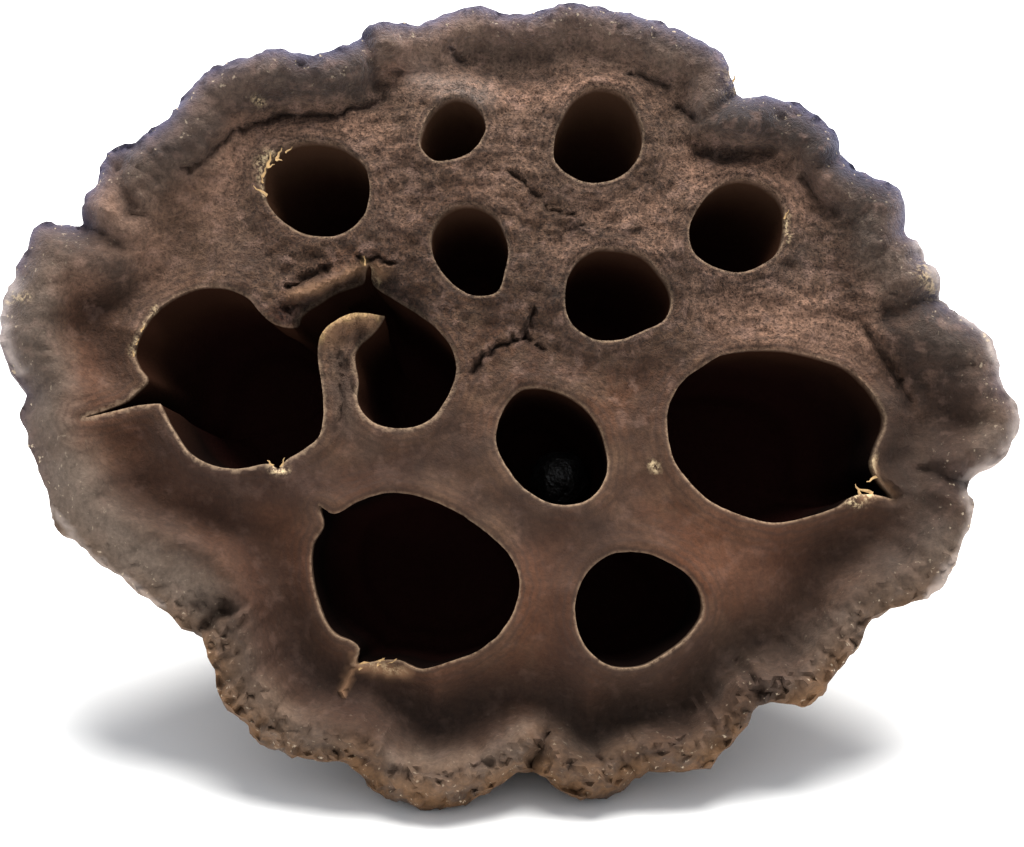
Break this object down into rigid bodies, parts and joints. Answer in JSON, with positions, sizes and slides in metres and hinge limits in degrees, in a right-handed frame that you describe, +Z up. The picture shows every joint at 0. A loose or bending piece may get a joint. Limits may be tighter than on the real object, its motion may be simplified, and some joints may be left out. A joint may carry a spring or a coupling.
{
  "type": "dried lotus pod",
  "caption": "Dried lotus seed pod lying on its side, with a pitted face, a wavy rim, a ribbed flank and a short cut stem.",
  "frame": {"origin": "centre of the pod's footprint box on the surface that it lies on", "axes": "+Z up, -Y towards the side that the pitted face looks to, +X to the right of someone who faces it"},
  "size_m": [0.0824, 0.0558, 0.0555],
  "materials": {
    "pod": "matt",
    "seed": "satin"
  },
  "bodies": {
    "root": {"pod": "pod", "seed": "seed"}
  },
  "joints": []
}
